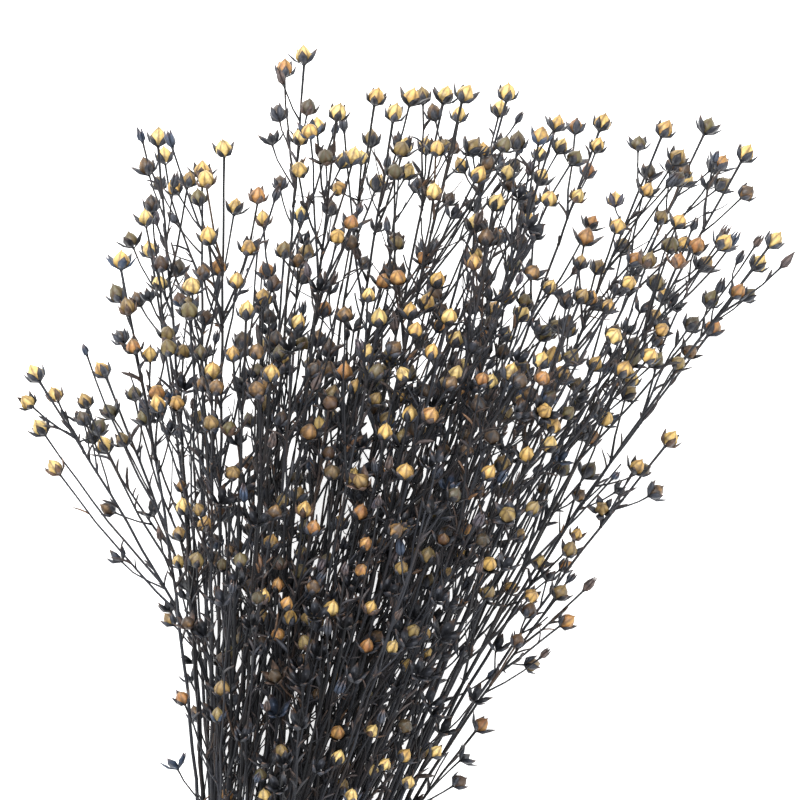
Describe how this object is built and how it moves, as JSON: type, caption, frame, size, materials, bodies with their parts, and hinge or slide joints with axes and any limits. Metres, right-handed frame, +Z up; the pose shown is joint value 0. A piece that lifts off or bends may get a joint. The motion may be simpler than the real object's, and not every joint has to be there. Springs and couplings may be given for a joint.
{
  "type": "bunch of dried flax seed heads",
  "caption": "Tied bunch of dyed dried flax sprays lying down: thin forked stems with pointed round seed capsules in dark sepals, spread in a fan from a band of twine.",
  "frame": {"origin": "middle of the flat spot under the tie, on the surface that the bunch lies on", "axes": "+Y from the cut stem ends to the heads, +X to the right seen from above, +Z up"},
  "size_m": [0.3187, 0.5821, 0.1283],
  "materials": {
    "dyed_stem": "matt, dyed blue-black, with dry leaves in the same dye",
    "seed_capsule": "papery straw yellow to brown, unevenly dyed",
    "sepal": "matt dark blue-grey",
    "twine": "rough natural fibre"
  },
  "bodies": {
    "root": {"spray_01": "dyed_stem", "spray_02": "dyed_stem", "spray_03": "dyed_stem", "spray_04": "dyed_stem", "spray_05": "dyed_stem", "spray_06": "dyed_stem", "spray_07": "dyed_stem", "spray_08": "dyed_stem", "spray_09": "dyed_stem", "spray_10": "dyed_stem", "spray_11": "dyed_stem", "spray_12": "dyed_stem", "spray_13": "dyed_stem", "spray_14": "dyed_stem", "spray_15": "dyed_stem", "spray_16": "dyed_stem", "spray_17": "dyed_stem", "spray_18": "dyed_stem", "spray_19": "dyed_stem", "spray_20": "dyed_stem", "spray_21": "dyed_stem", "spray_22": "dyed_stem", "spray_23": "dyed_stem", "spray_24": "dyed_stem", "spray_25": "dyed_stem", "spray_26": "dyed_stem", "spray_27": "dyed_stem", "spray_28": "dyed_stem", "spray_29": "dyed_stem", "spray_30": "dyed_stem", "spray_31": "dyed_stem", "spray_32": "dyed_stem", "spray_33": "dyed_stem", "spray_34": "dyed_stem", "spray_35": "dyed_stem", "spray_36": "dyed_stem", "spray_37": "dyed_stem", "spray_38": "dyed_stem", "spray_39": "dyed_stem", "spray_40": "dyed_stem", "spray_41": "dyed_stem", "spray_42": "dyed_stem", "spray_43": "dyed_stem", "spray_44": "dyed_stem", "spray_45": "dyed_stem", "spray_46": "dyed_stem", "spray_47": "dyed_stem", "spray_48": "dyed_stem", "spray_49": "dyed_stem", "spray_50": "dyed_stem", "spray_51": "dyed_stem", "spray_52": "dyed_stem", "spray_53": "dyed_stem", "spray_54": "dyed_stem", "spray_55": "dyed_stem", "spray_56": "dyed_stem", "tie": "twine"}
  },
  "joints": []
}
